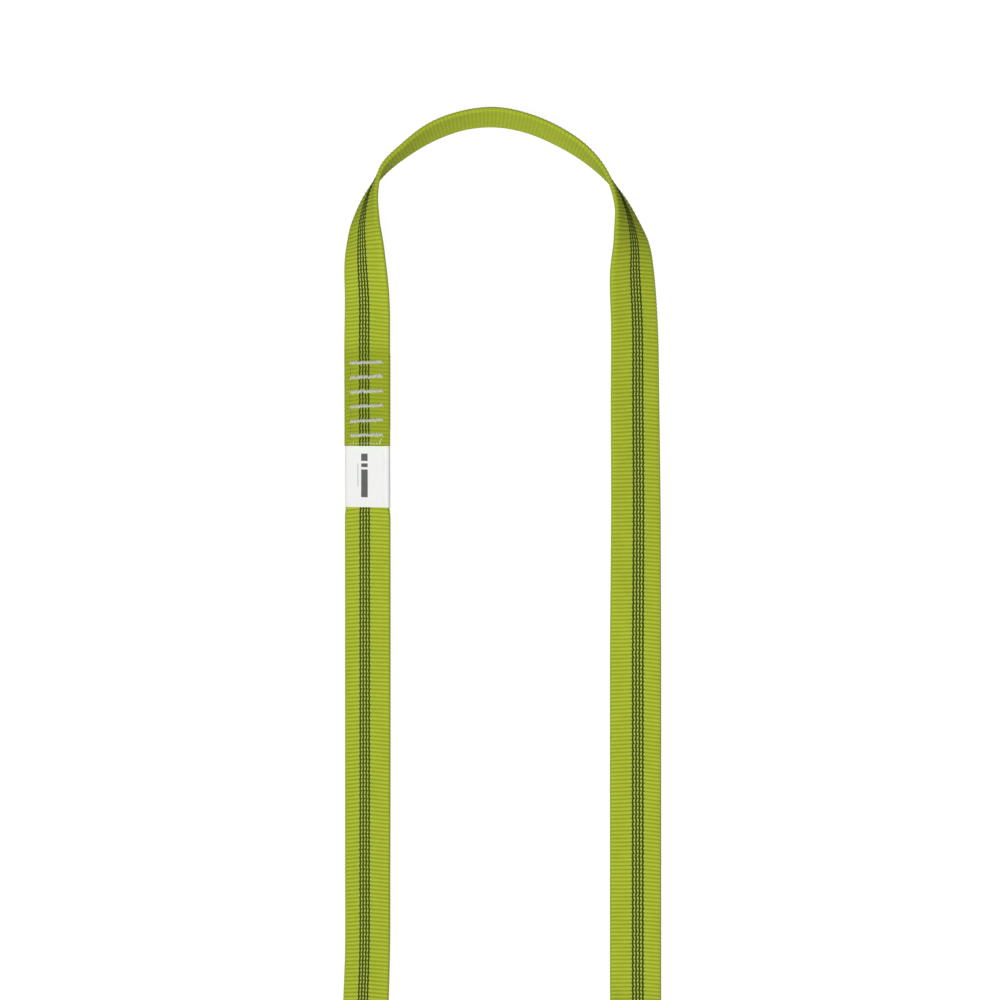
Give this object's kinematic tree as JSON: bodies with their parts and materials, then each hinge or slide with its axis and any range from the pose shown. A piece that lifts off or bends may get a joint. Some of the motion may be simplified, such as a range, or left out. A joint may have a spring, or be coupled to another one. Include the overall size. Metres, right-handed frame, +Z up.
{
  "type": "flat web sling",
  "caption": "Closed loop of flat tubular webbing, sewn with cross bar tacks where its ends overlap, with a cloth label sleeve beside the seam, lying open on a flat surface.",
  "frame": {"origin": "on the surface that the sling lies on, under the middle of its bounding box", "axes": "+Z up out of the surface, towards the marked face of the legs; +Y along the legs towards the upper bight; +X towards the plain leg, away from the sewn leg"},
  "size_m": [0.1546, 0.5346, 0.0251],
  "materials": {
    "webbing": "ribbed lime green polyamide weave",
    "marker_thread": "dark green woven thread",
    "needle_thread": "pale grey twisted sewing thread",
    "bobbin_thread": "pale grey twisted sewing thread",
    "label": "smooth white woven label cloth",
    "label_thread": "fine white sewing thread"
  },
  "bodies": {
    "root": {"webbing": "webbing", "marker_thread_1": "marker_thread", "marker_thread_2": "marker_thread", "marker_thread_3": "marker_thread", "marker_thread_4": "marker_thread", "bar_tack_1_needle_thread": "needle_thread", "bar_tack_2_needle_thread": "needle_thread", "bar_tack_3_needle_thread": "needle_thread", "bar_tack_4_needle_thread": "needle_thread", "bar_tack_5_needle_thread": "needle_thread", "bar_tack_6_needle_thread": "needle_thread", "bar_tack_1_bobbin_thread": "bobbin_thread", "bar_tack_2_bobbin_thread": "bobbin_thread", "bar_tack_3_bobbin_thread": "bobbin_thread", "bar_tack_4_bobbin_thread": "bobbin_thread", "bar_tack_5_bobbin_thread": "bobbin_thread", "bar_tack_6_bobbin_thread": "bobbin_thread", "end_row_needle_thread": "needle_thread", "end_row_bobbin_thread": "bobbin_thread", "jump_threads": "needle_thread", "label": "label", "label_edge_stitches": "label_thread"}
  },
  "joints": []
}
